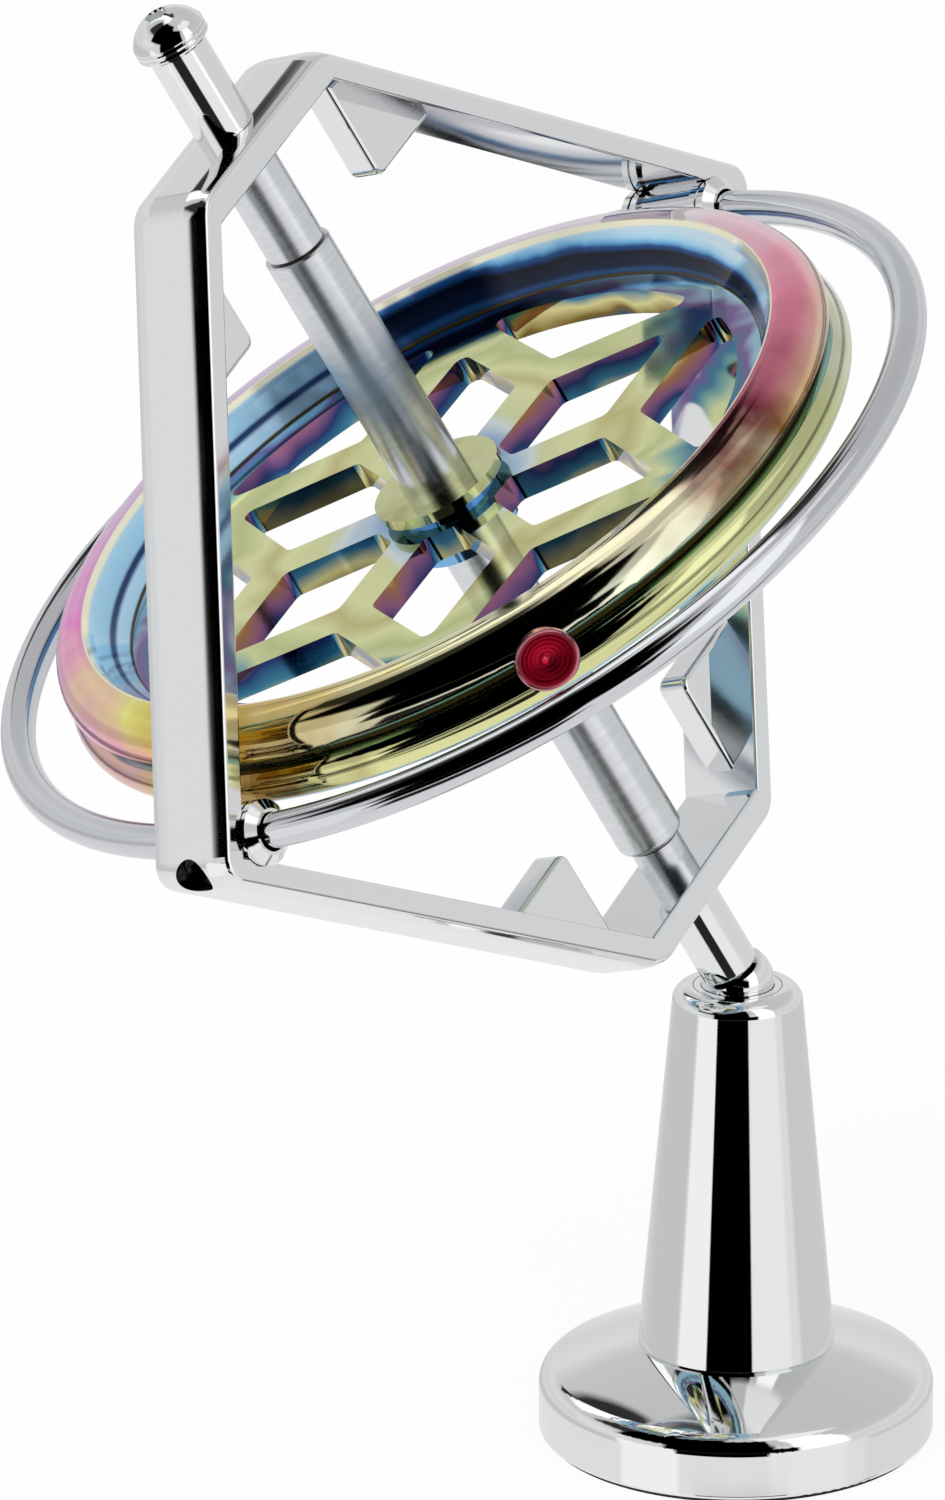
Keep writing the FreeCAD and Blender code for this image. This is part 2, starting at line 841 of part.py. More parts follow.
    grub_holes = new_sketch(body, "XZ_Plane", "grub_hole_outline")
    hole_radius = S.grub_radius + S.grub_hole_clearance
    mouth = FRAME_HALF_WIDTH + S.arm_thickness
    for across in (1, -1):
        draw(
            grub_holes,
            [
                (across * RING_RADIUS, ZERO),
                (across * mouth, ZERO),
                (across * mouth, hole_radius),
                (across * RING_RADIUS, hole_radius),
            ],
        )
    groove(body, grub_holes, "grub_holes", "H_Axis")

    spigot_holes = new_sketch(body, "XY_Plane", "spigot_hole_outline")
    draw_circle(spigot_holes, (ZERO, ZERO), SPIGOT_HOLE_RADIUS)
    pocket_through(body, spigot_holes, "spigot_holes")
    body.setExpression("Placement", GYRO)
    return body


def make_guard_ring_half(label, side):
    """Half of the round guard ring, bent from plain bar. Its ends meet inside the lugs."""
    body = new_body(label)
    sketch = new_sketch(body, "YZ_Plane", f"{label}_section")
    draw_circle(sketch, (side * RING_RADIUS, ZERO), S.ring_bar_radius)
    feature = body.newObject("PartDesign::Revolution", f"{label}_bend")
    feature.Profile = sketch
    feature.ReferenceAxis = (sketch, ["V_Axis"])
    feature.Midplane = True
    bind(feature, "Angle", as_size(180) - S.ring_end_angle)
    body.setExpression("Placement", GYRO)
    return body


def make_ring_collars():
    """Four turned collars that close the lugs about the ring."""
    bore = S.ring_bar_radius + S.collar_clearance
    groove_start = S.collar_disc_length
    groove_end = groove_start + S.collar_groove_length
    nose_start = groove_end + S.collar_disc_length
    collar = turned(
        "ring_collar",
        [
            (bore, ZERO),
            (S.collar_radius, ZERO),
            (S.collar_radius, groove_start),
            (S.collar_groove_radius, groove_start),
            (S.collar_groove_radius, groove_end),
            (S.collar_radius, groove_end),
            (S.collar_radius, nose_start),
            (S.collar_nose_radius, COLLAR_LENGTH),
            (bore, COLLAR_LENGTH),
        ],
        where=place((COLLAR_ACROSS, COLLAR_START, 0), (X_AXIS, -90)),
    )
    across = mirrored(collar, "ring_collar_across", (1, 0, 0))
    pair = [collar, across]
    behind = [mirrored(piece, f"{piece.Name}_front", (0, 1, 0)) for piece in pair]
    return grouped("ring_collars", pair + behind)


def make_corner_screws():
    """Two grub screws in the frame's side corners. They clamp the ring's ends."""
    tip = RING_RADIUS + S.ring_bar_radius + S.seat_gap
    screw = turned(
        "corner_screw",
        [
            (ZERO, ZERO),
            (S.grub_radius - S.head_chamfer, ZERO),
            (S.grub_radius, S.head_chamfer),
            (S.grub_radius, S.grub_length - S.head_chamfer),
            (S.grub_radius - S.head_chamfer, S.grub_length),
            (ZERO, S.grub_length),
        ],
        where=place((tip, 0, 0), (Y_AXIS, 90)),
    )
    socket = new_sketch(screw, "XY_Plane", "corner_screw_socket")
    raised(socket, S.grub_length)
    draw_hexagon(socket, S.grub_socket_width)
    pocket_down(screw, socket, "corner_screw_drive", S.grub_socket_depth)
    other = mirrored(screw, "corner_screw_across", (1, 0, 0))
    return grouped("corner_screws", [screw, other])


# ---------------------------------------------------------------- posts, ball heads and bearings

def make_upper_post():
    """Post above the frame, with a spigot through the flat and one into the ball head."""
    head_spigot_top = UPPER_POST_HEIGHT + S.head_spigot_length
    return turned(
        "upper_post",
        [
            (ZERO, UPPER_SPIGOT_TIP),
            (S.spigot_radius, UPPER_SPIGOT_TIP),
            (S.spigot_radius, S.frame_half_height),
            (S.post_radius, S.frame_half_height),
            (S.post_radius, UPPER_POST_HEIGHT),
            (S.spigot_radius, UPPER_POST_HEIGHT),
            (S.spigot_radius, head_spigot_top),
            (ZERO, head_spigot_top),
        ],
    )


def make_upper_ball_head():
    """Round-topped head on the upper post, with two turned lines and a hexagon socket."""
    seat = UPPER_POST_HEIGHT
    collar_top = seat + S.head_collar_height
    tip = collar_top + S.head_dome_height
    floor = seat + S.head_spigot_length + S.spigot_clearance
    turned_lines = []
    for share in (0.4, 0.8):
        line = seat + S.head_collar_height * share
        turned_lines += [
            (S.head_radius, line - S.head_groove_depth),
            (S.head_radius - S.head_groove_depth, line),
            (S.head_radius, line + S.head_groove_depth),
        ]
    dome_start = 3 + len(turned_lines)
    body = turned(
        "upper_ball_head",
        [
            (SPIGOT_HOLE_RADIUS, seat),
            (S.head_radius - S.head_chamfer, seat),
            (S.head_radius, seat + S.head_chamfer),
            *turned_lines,
            (S.head_radius, collar_top),
            (ZERO, tip),
            (ZERO, floor),
            (SPIGOT_HOLE_RADIUS, floor),
        ],
        {dome_start: (round_of(S.head_radius, S.head_dome_height), True)},
    )
    socket = new_sketch(body, "XY_Plane", "head_socket")
    raised(socket, tip)
    draw_hexagon(socket, S.head_socket_width)
    pocket_down(body, socket, "head_drive", S.head_socket_depth)
    return body


def make_lower_post():
    """Post below the frame. Its pin turns in the seat ball."""
    pin_tip = LOWER_POST_HEIGHT + S.pin_length
    body = turned(
        "lower_post",
        [
            (ZERO, -LOWER_SPIGOT_TIP),
            (S.spigot_radius, -LOWER_SPIGOT_TIP),
            (S.spigot_radius, -S.frame_half_height),
            (S.post_radius, -S.frame_half_height),
            (S.post_radius, -LOWER_POST_HEIGHT),
            (S.pin_radius, -LOWER_POST_HEIGHT),
            (S.pin_radius, -pin_tip),
            (ZERO, -pin_tip),
        ],
    )
    end = -LOWER_POST_HEIGHT.number
    wide = S.post_radius.number
    round_edges(
        body,
        "lower_post_end",
        S.post_end_round,
        lambda edge: edge.Closed and abs(edge.BoundBox.ZMin - end) < 1e-4 and edge.BoundBox.XMax > wide - 1e-4,
    )
    return body


def make_seat_ball():
    """Ball that stands in the cup, cut flat above and bored for the post's pin."""
    bore = S.pin_radius + S.pin_clearance
    neck = BALL_TO_CENTRE - S.ball_neck_height
    floor = LOWER_POST_HEIGHT + S.pin_length + S.pin_room
    return turned(
        "seat_ball",
        [
            (bore, -neck),
            (bore, -floor),
            (ZERO, -floor),
            (ZERO, -(BALL_TO_CENTRE + S.ball_radius)),
            (rise_on_circle(S.ball_radius, S.ball_neck_height), -neck),
        ],
        {3: (S.ball_radius, True)},
    )


def make_upper_bearing_tube():
    """Fixed tube under the upper flat. It holds the upper bush."""
    return turned(
        "upper_bearing_tube",
        [
            (S.upper_bush_radius + S.press_gap, UPPER_TUBE_END),
            (S.upper_tube_radius, UPPER_TUBE_END),
            (S.upper_tube_radius, INNER_HALF_HEIGHT),
            (SPIGOT_HOLE_RADIUS, INNER_HALF_HEIGHT),
            (SPIGOT_HOLE_RADIUS, UPPER_SPIGOT_TIP),
            (S.upper_bush_radius + S.press_gap, UPPER_SPIGOT_TIP),
        ],
    )


def make_lower_bearing_stub():
    """Short fixed socket above the lower flat. It holds the lower bush."""
    return turned(
        "lower_bearing_stub",
        [
            (S.lower_bush_radius + S.press_gap, -LOWER_STUB_END),
            (S.lower_bush_radius + S.press_gap, -LOWER_SPIGOT_TIP),
            (SPIGOT_HOLE_RADIUS, -LOWER_SPIGOT_TIP),
            (SPIGOT_HOLE_RADIUS, -INNER_HALF_HEIGHT),
            (S.lower_stub_radius, -INNER_HALF_HEIGHT),
            (S.lower_stub_radius, -LOWER_STUB_END),
        ],
    )


def make_bushes():
    """Bronze bushes that carry the shaft's two ends."""
    bore = S.shaft_radius + S.bearing_clearance
    low = UPPER_TUBE_END + S.bush_setback
    turned("upper_bush", bar(bore, S.upper_bush_radius, low, low + S.upper_bush_length))
    high = -(LOWER_STUB_END + S.bush_setback)
    turned("lower_bush", bar(bore, S.lower_bush_radius, high - S.lower_bush_length, high))


# ---------------------------------------------------------------- flywheel and spindle

def make_shaft():
    """Ground shaft through the flywheel."""
    top = UPPER_SPIGOT_TIP - S.shaft_end_room
    bottom = -(LOWER_SPIGOT_TIP - S.shaft_end_room)
    return turned(
        "axle_shaft",
        [
            (ZERO, bottom),
            (S.shaft_radius - S.shaft_chamfer, bottom),
            (S.shaft_radius, bottom + S.shaft_chamfer),
            (S.shaft_radius, top - S.shaft_chamfer),
            (S.shaft_radius - S.shaft_chamfer, top),
            (ZERO, top),
        ],
    )


def make_sleeves():
    """Spacer sleeves on the shaft, above and below the hub."""
    top = UPPER_TUBE_END - S.end_play
    turned(
        "upper_sleeve",
        [
            (SHAFT_BORE, S.hub_top),
            (S.sleeve_radius, S.hub_top),
            (S.sleeve_radius, top - S.sleeve_edge),
            (S.sleeve_radius - S.sleeve_edge, top),
            (SHAFT_BORE, top),
        ],
    )
    bottom = LOWER_STUB_END - S.end_play
    turned(
        "lower_sleeve",
        [
            (SHAFT_BORE, -S.hub_bottom),
            (SHAFT_BORE, -bottom),
            (S.sleeve_radius - S.sleeve_round, -bottom),
            (S.sleeve_radius, S.sleeve_round - bottom),
            (S.sleeve_radius, -S.hub_bottom),
        ],
        {2: (S.sleeve_round, True)},
    )


def along(distance, angle):
    """A point at this distance from the axis, at this angle."""
    return (distance * cosine(angle), distance * sine(angle))


def half_step():
    return as_size(180 / SPOKES)


def turned_by(point, angle):
    """A point of the web turned about the axis."""
    across, up = point
    return (across * cosine(angle) - up * sine(angle), across * sine(angle) + up * cosine(angle))


def draw_inner_window(sketch):
    """Kite between two spokes and the forks that join them."""
    half = S.spoke_width / 2
    step = half_step()
    fork = along(S.fork_radius, step)
    run = WINDOW_END_RADIUS - fork[0]
    branch = root(run * run + fork[1] * fork[1])
    slope = fork[1] / run
    spoke_slope = sine(step) / cosine(step)
    spoke_drop = half / cosine(step)
    peak = WINDOW_END_RADIUS - half * branch / fork[1]
    start = S.hub_radius + S.window_hub_gap
    side = (slope * peak + spoke_drop) / (spoke_slope + slope)
    points = [
        (start, -(spoke_slope * start - spoke_drop)),
        (side, -(spoke_slope * side - spoke_drop)),
        (peak, ZERO),
        (side, spoke_slope * side - spoke_drop),
        (start, spoke_slope * start - spoke_drop),
    ]
    turn = S.spoke_angle - S.stud_angle - step
    draw(sketch, [turned_by(point, turn) for point in points])


def draw_outer_window(sketch):
    """Window between a fork and the web's outer band, which is an arc."""
    half = S.spoke_width / 2
    meeting = along(WINDOW_END_RADIUS, half_step())
    run = meeting[0] - S.fork_radius
    branch = root(run * run + meeting[1] * meeting[1])
    slope = meeting[1] / run
    vertex = S.fork_radius + half * branch / meeting[1]
    spread = slope * slope + 1
    reach = WINDOW_END_RADIUS
    inside = reach * reach * spread - slope * slope * vertex * vertex
    corner = (slope * slope * vertex + root(inside)) / spread
    height = slope * (corner - vertex)
    points = [(vertex, ZERO), (corner, -height), (corner, height)]
    turn = S.spoke_angle - S.stud_angle
    draw(sketch, [turned_by(point, turn) for point in points], {1: (reach, True)})


def make_flywheel():
    """Flywheel in one piece: hub, pierced web and a rim with two round beads."""
    lower_edge = S.lower_bead_radius - S.lower_bead_bulge
    groove_floor = S.lower_bead_radius - S.rim_groove_depth
    body = new_body("flywheel")
    outline = new_sketch(body, "XZ_Plane", "flywheel_outline")
    draw(
        outline,
        [
            (SHAFT_BORE, -S.hub_bottom),
            (S.hub_neck_radius, -S.hub_bottom),
            (S.hub_neck_radius, WEB_BOTTOM),
            (RIM_WALL_RADIUS, WEB_BOTTOM),
            (RIM_LIP_RADIUS, -S.rim_bottom),
            (lower_edge, -S.rim_bottom),
            (lower_edge, RIM_GROOVE_LOW),
            (groove_floor, RIM_GROOVE_LOW + S.rim_groove_flare),
            (groove_floor, RIM_GROOVE_HIGH - S.rim_groove_flare),
            (UPPER_BEAD_RADIUS - S.upper_bead_edge, RIM_GROOVE_HIGH),
            (UPPER_BEAD_RADIUS, UPPER_BEAD_LOW),
            (UPPER_BEAD_RADIUS - S.upper_bead_round, RIM_TOP),
            (RIM_LIP_RADIUS, RIM_TOP),
            (RIM_LIP_RADIUS - S.rim_bevel_width, RIM_TOP - S.rim_bevel_drop),
            (RIM_WALL_RADIUS, S.web_top),
            (S.hub_neck_radius, S.web_top),
            (S.hub_neck_radius, S.hub_top - S.hub_flange_thickness),
            (S.hub_radius, S.hub_top - S.hub_flange_thickness),
            (S.hub_radius, S.hub_top),
            (SHAFT_BORE, S.hub_top),
        ],
        {
            5: (round_of(S.lower_bead_height / 2, S.lower_bead_bulge), True),
            10: (S.upper_bead_round, True),
        },
    )
    revolve(body, outline, "flywheel_turned")

    for name, draw_window in (("inner_window", draw_inner_window), ("outer_window", draw_outer_window)):
        sketch = new_sketch(body, "XY_Plane", f"{name}_outline")
        draw_window(sketch)
        around(body, pocket_through(body, sketch, name), SPOKES)

    web_top = S.web_top.number
    web_thickness = S.web_thickness.number

    def is_window_corner(edge):
        box = edge.BoundBox
        upright = box.XLength < 1e-4 and box.YLength < 1e-4
        in_web = abs(box.ZLength - web_thickness) < 1e-3 and abs(box.ZMax - web_top) < 1e-3
        return upright and in_web and edge.CenterOfMass.distanceToLine(
            FreeCAD.Vector(), FreeCAD.Vector(0, 0, 1)) > S.hub_radius.number

    round_edges(body, "window_corners", S.window_corner_round, is_window_corner)

    seat = new_sketch(body, "YZ_Plane", "stud_seat_outline")
    raised(seat, STUD_BASE_RADIUS - S.seat_gap)
    draw_circle(seat, (ZERO, S.stud_height), S.stud_radius + S.stud_clearance)
    around(body, pocket_out(body, seat, "stud_seat", up=True), STUDS)
    body.setExpression("Placement", WHEEL)
    return body


def make_balance_studs():
    """Two dished studs set in the rim, opposite each other so that the wheel stays in balance."""
    rim = S.stud_radius - S.stud_rim_width
    stud = turned(
        "balance_stud",
        [
            (ZERO, ZERO),
            (S.stud_radius, ZERO),
            (S.stud_radius, S.stud_length),
            (rim, S.stud_length),
            (ZERO, S.stud_length - S.stud_dish_depth),
        ],
        where=place((STUD_BASE_RADIUS, 0, S.stud_height), (Y_AXIS, 90)),
    )
    other = mirrored(stud, "balance_stud_across", (1, 0, 0))
    return grouped("balance_studs", [stud, other], WHEEL)


# ---------------------------------------------------------------- build, check and write

for make in (
    make_foot,
    make_foot_pad,
    make_column,
    make_column_screw,
    make_column_washer,
    make_seat_cup,
    make_seat_ball,
    make_frame,
    make_ring_collars,
    make_corner_screws,
    make_upper_post,
    make_upper_ball_head,
    make_lower_post,
    make_upper_bearing_tube,
    make_lower_bearing_stub,
    make_bushes,
    make_shaft,
    make_sleeves,
    make_flywheel,
    make_balance_studs,
):
    make()
make_guard_ring_half("guard_ring_rear", 1)
make_guard_ring_half("guard_ring_front", -1)
doc.recompute()

NODES = (
    "foot",
    "foot_pad",
    "column",
    "column_screw",
    "column_washer",
    "seat_cup",
    "seat_ball",
    "gyro_frame",
    "guard_ring_front",
    "guard_ring_rear",
    "ring_collars",
    "corner_screws",
    "upper_post",
    "upper_ball_head",
    "lower_post",
    "upper_bearing_tube",
    "lower_bearing_stub",
    "upper_bush",
    "lower_bush",
    "axle_shaft",
    "upper_sleeve",
    "lower_sleeve",
    "flywheel",
    "balance_studs",
)

failed = [item.Label for item in doc.Objects if {"Invalid", "Error"} & set(item.State)]
if failed:
    raise RuntimeError(f"failed to compute: {failed}")

os.makedirs("parts", exist_ok=True)
for node in NODES:
    piece = doc.getObjectsByLabel(node)[0]
    if piece.Shape.isNull() or not piece.Shape.isValid():
        raise RuntimeError(f"{node} has no valid shape")
    piece.Shape.exportStep(f"parts/{node}.step")
    print(f"{node}: {len(piece.Shape.Solids)} solid(s), {piece.Shape.Volume:.2f} mm3")
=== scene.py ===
import math

import bpy
from mathutils import Matrix, Vector

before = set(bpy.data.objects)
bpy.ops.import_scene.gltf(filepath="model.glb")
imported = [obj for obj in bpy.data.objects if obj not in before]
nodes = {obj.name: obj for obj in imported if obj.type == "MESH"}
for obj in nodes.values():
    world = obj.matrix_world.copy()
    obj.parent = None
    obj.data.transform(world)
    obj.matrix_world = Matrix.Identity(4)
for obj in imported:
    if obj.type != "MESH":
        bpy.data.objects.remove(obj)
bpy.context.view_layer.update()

# Sizes in millimetres and degrees, the same as the part's own.
MM = 0.001
LEAN = 29.3
FRAME_TURN = 38.3
STUD_TURN = 225.5
STUD_HEIGHT = 1.6
GYRO_CENTRE = Vector((-19.380, 0.0, 66.834)) * MM
HUB_RADIUS = 4.5
FLANGE_UNDER = 2.6
WALL_RADIUS = 23.2
WALL_FOOT = 2.0
WALL_TOP = 4.93
LIP_RADIUS = 25.3
GROOVE_LOW = 1.3
GROOVE_HIGH = 2.2
STUD_RADIUS = 2.1


# ---------------------------------------------------------------- helpers

def linear(hex_colour):
    """The linear colour of an sRGB hex value."""
    channels = [int(hex_colour[i:i + 2], 16) / 255 for i in (1, 3, 5)]
    light = [c / 12.92 if c <= 0.04045 else ((c + 0.055) / 1.055) ** 2.4 for c in channels]
    return (*light, 1.0)


def add(tree, kind, inputs=(), out=0, stops=(), **settings):
    """Adds a node with its settings, its ramp stops and its inputs, and returns one of its outputs.

    An input is a constant, or a socket to link from. Inputs come as a list in order or by name.
    """
    node = tree.nodes.new("ShaderNode" + kind)
    for name, value in settings.items():
        setattr(node, name, value)
    if stops:
        band = node.color_ramp
        for _ in range(len(stops) - len(band.elements)):
            band.elements.new(1.0)
        for element, (place, colour) in zip(band.elements, stops):
            element.position = place
            element.color = linear(colour)
    for key, value in inputs.items() if isinstance(inputs, dict) else enumerate(inputs):
        if isinstance(value, bpy.types.NodeSocket):
            tree.links.new(value, node.inputs[key])
        else:
            node.inputs[key].default_value = value
    return node.outputs[out] if node.outputs else node


def new_material(name):
    """An empty material and its node tree."""
    material = bpy.data.materials.new(name)
    material.use_nodes = True
    material.node_tree.nodes.clear()
    return material, material.node_tree


def own_axes(tree, socket, turn, origin=GYRO_CENTRE, unit=MM):
    """A place in millimetres, or with unit 1 a direction, along the spindle's own axes."""
    lean = Matrix.Rotation(math.radians(-LEAN), 3, "Y")
    axes = (lean @ Matrix.Rotation(math.radians(turn), 3, "Z")).to_euler()
    return add(tree, "Mapping", [socket, origin, axes, (unit, unit, unit)], vector_type="TEXTURE")


def polar(tree, vector):
    """Radius, height and angle about Z of a vector. The angle runs from -180 to 180 degrees."""
    flat = add(tree, "VectorMath", [vector, (1, 1, 0)], operation="MULTIPLY")
    radius = add(tree, "VectorMath", [flat], out=1, operation="LENGTH")
    x, y, z = (add(tree, "SeparateXYZ", [vector], out=axis) for axis in range(3))
    turned = add(tree, "Math", [y, x], operation="ARCTAN2")
    return radius, z, add(tree, "Math", [turned, 180 / math.pi], operation="MULTIPLY")


# ---------------------------------------------------------------- metals

def polished_metal(name, colour, roughness, haze):
    """Buffed metal, plated or bare: a mirror with a little haze and the faint waves of the buff."""
    material, tree = new_material(name)
    place = add(tree, "TexCoord", out="Object")
    # Buffing leaves soft hollows some 3 mm apart.
    waves = add(tree, "TexNoise", {"Vector": place, "Scale": 1 / (3 * MM), "Detail": 2.0})
    # Handling haze comes in patches some 6 mm wide.
    patches = add(tree, "TexNoise", {"Vector": place, "Scale": 1 / (6 * MM), "Detail": 4.0})
    shader = add(tree, "BsdfPrincipled", {
        "Base Color": linear(colour),
        "Metallic": 1.0,
        "Roughness": add(tree, "MapRange", [patches, 0.35, 0.7, roughness, haze]),
        "Normal": add(tree, "Bump", {"Height": waves, "Strength": 0.02, "Distance": 0.05 * MM}),
    })
    add(tree, "OutputMaterial", [shader])
    return material


def turned_metal(name, dark, pale, roughness, pitch):
    """Metal finished on a lathe about the spindle: faint lines run round it and blur its mirror."""
    material, tree = new_material(name)
    place = own_axes(tree, add(tree, "TexCoord", out="Object"), FRAME_TURN)
    radius, height, angle = polar(tree, place)
    # Along a line the finish changes slowly, so the angle counts for little.
    along = add(tree, "Math", [angle, 0.004], operation="MULTIPLY")
    rounds = add(tree, "CombineXYZ", [radius, height, along])
    lines = add(tree, "TexNoise", {"Vector": rounds, "Scale": 1 / pitch, "Detail": 3.0})
    shader = add(tree, "BsdfPrincipled", {
        "Base Color": add(tree, "ValToRGB", [lines], stops=[(0.3, dark), (0.7, pale)]),
        "Metallic": 1.0,
        "Roughness": add(tree, "MapRange", [lines, 0.3, 0.7, roughness * 0.95, roughness * 1.05]),
        "Normal": add(tree, "Bump", {"Height": lines, "Strength": 0.01, "Distance": 0.02 * MM}),
    })
    add(tree, "OutputMaterial", [shader])
    return material


def round_the_rim(*stops):
    """Ramp stops from degrees round the spindle."""
    return [(angle / 360 + 0.5, colour) for angle, colour in stops]


def between(tree, value, low, high, soft):
    """1 where the value lies between low and high, falling to 0 over soft on either side."""
    middle = (low + high) / 2
    half = (high - low) / 2
    offset = add(tree, "Math", [value, middle], operation="SUBTRACT")
    away = add(tree, "Math", [offset], operation="ABSOLUTE")
    return add(tree, "MapRange", [away, half + soft / 2, half - soft / 2, 0.0, 1.0])


def rainbow_film_and_painted_light():
    """Sputtered titanium film on polished aluminium.

    The film's thickness, and so its colour, changes with the way each face stood to the target:
    yellow and rose on the rim, blue inside it, and khaki on the web. Light is painted in as well:
    reflections on the rim's beads, a highlight on the lip and at the top of the wall, and shade
    in the groove and at the wall's foot.
    """
    material, tree = new_material("titanium_rainbow_film_and_painted_light")
    place = own_axes(tree, add(tree, "TexCoord", out="Object"), FRAME_TURN)
    facing = own_axes(tree, add(tree, "TexCoord", out="Normal"), FRAME_TURN, (0, 0, 0), 1)
    radius, height, angle = polar(tree, place)
    _, upward, facing_angle = polar(tree, facing)
    # The film drifts a little in clouds some 5 mm wide.
    clouds = add(tree, "TexNoise", {"Vector": place, "Scale": 1 / 5.0, "Detail": 3.0})
    drift = add(tree, "MapRange", [clouds, 0.3, 0.7, -8.0, 8.0])
    around = add(tree, "Math", [angle, drift], operation="ADD")
    turn = add(tree, "Math", [around, 1 / 360, 0.5], operation="MULTIPLY_ADD")
    faces = add(tree, "Math", [facing_angle, 1 / 360, 0.5], operation="MULTIPLY_ADD")

    # The two round beads of the rim, by degrees round the spindle. Their colours are the film's
    # with
    # painted reflections in them: the dark and pale bands round the rim.
    bead_top_film_and_reflection = add(tree, "ValToRGB", [turn], stops=round_the_rim(
        (-180, "#D0A840"), (-150, "#E8E4B8"), (-112, "#E8E0C0"), (-95, "#803040"), (-60, "#F890AC"),
        (-10, "#ECE4E8"), (80, "#DCC8E4"), (125, "#F088D0"), (155, "#F4F088"), (180, "#D0A840")))
    bead_side_film_and_reflection = add(tree, "ValToRGB", [turn], stops=round_the_rim(
        (-180, "#B08828"), (-150, "#E0E4C8"), (-120, "#E8EAD0"), (-90, "#8A6030"), (-75, "#DDB488"),
        (-20, "#F0F0EE"), (100, "#D8CCE8"), (135, "#F090E0"), (172, "#F0C850"), (180, "#B08828")))
    lower_bead_film_and_reflection = add(tree, "ValToRGB", [turn], stops=round_the_rim(
        (-180, "#8A6A30"), (-160, "#E8E8A8"), (-80, "#D0D49C"), (-40, "#F0F0E8"), (-22, "#D8A8C8"),
        (0, "#5A90C8"), (108, "#60A0D8"), (135, "#E0A8D0"), (165, "#E0C080"), (180, "#8A6A30")))

    # The sloping wall inside the rim, from its foot up. Most of it is pale blue with a navy line.
    # Its foot by the web is darker, a painted shade, and its top by the lip pales to a painted
    # highlight.
    up_wall = add(tree, "MapRange", [height, WALL_FOOT, WALL_TOP, 0.0, 1.0])
    pale_wall = add(tree, "ValToRGB", [up_wall], stops=[
        (0.0, "#3F6C9A"), (0.06, "#A8D4F0"), (0.28, "#B8DCF4"), (0.35, "#1C3F78"),
        (0.42, "#16305C"), (0.48, "#9CCCEC"), (0.75, "#A8D8F4"), (0.93, "#C0E4F8"),
        (0.98, "#F0E8B8"), (1.0, "#F8F4D8")])
    # On one side the navy widens to a band. It grows towards larger angles, and the pale blue
    # above it goes.
    reach = add(tree, "MapRange", [around, -62.0, 25.0, 1.9, 0.75])
    up_navy = add(tree, "Math", [up_wall, reach], operation="MULTIPLY")
    navy_wall = add(tree, "ValToRGB", [up_navy], stops=[
        (0.0, "#0B1830"), (0.12, "#1C4878"), (0.2, "#0C1C3A"), (0.5, "#060C1C"),
        (0.62, "#1C4E8C"), (0.7, "#6CB0E0"), (0.8, "#A8D8F4"), (1.0, "#D0E8F4")])
    navy_side = between(tree, around, -68.0, 56.0, 30.0)
    wall = add(tree, "Mix", {0: navy_side, 6: pale_wall, 7: navy_wall}, out=2, data_type="RGBA")

    # On the web the film runs from blue at the hub through khaki to blue and violet at the wall.
    # Streaks some 9 mm long shift it.
    streaks = add(tree, "TexNoise", {
        "Vector": place, "Scale": 1 / 9.0, "Detail": 2.0, "Distortion": 0.6})
    outwards = add(tree, "Math", [radius, WALL_RADIUS], operation="DIVIDE")
    streak_shift = add(tree, "MapRange", [streaks, 0.3, 0.7, -0.09, 0.09])
    thickness = add(tree, "Math", [outwards, streak_shift], operation="ADD")
    web = add(tree, "ValToRGB", [thickness], stops=[
        (0.0, "#5A78A8"), (0.2, "#98B8D8"), (0.3, "#DCE8E8"), (0.36, "#DDE2A6"),
        (0.48, "#E8ECB0"), (0.56, "#CFC684"), (0.64, "#E8ECB0"), (0.72, "#C8D090"),
        (0.8, "#DDE2A6"), (0.86, "#88B4A8"), (0.91, "#3F7C9A"), (0.96, "#7C5C98"),
        (1.0, "#9CC4D8")])
    flange = add(tree, "ValToRGB", [clouds], stops=[
        (0.3, "#A8A868"), (0.5, "#D2D6A0"), (0.7, "#DCD8A8")])

    # Each cut face starts at its own colour and drifts along and down itself.
    depth = add(tree, "Math", [height, 0.07], operation="MULTIPLY")
    face_shift = add(tree, "MapRange", [streaks, 0.3, 0.7, -0.1, 0.1])
    shift = add(tree, "Math", [face_shift, depth], operation="ADD")
    shifted = add(tree, "Math", [faces, shift], operation="ADD")
    own_colour = add(tree, "Math", [shifted], operation="FRACT")
    cut = add(tree, "ValToRGB", [own_colour], stops=[
        (0.0, "#7A6428"), (0.08, "#D8D090"), (0.16, "#3C7C98"), (0.24, "#28386C"),
        (0.32, "#8C5C80"), (0.4, "#A07048"), (0.48, "#D8D090"), (0.56, "#3C6CA4"),
        (0.64, "#7A6428"), (0.72, "#2C7084"), (0.8, "#6C5888"), (0.88, "#C8B070"),
        (0.94, "#204C70"), (1.0, "#7A6428")])

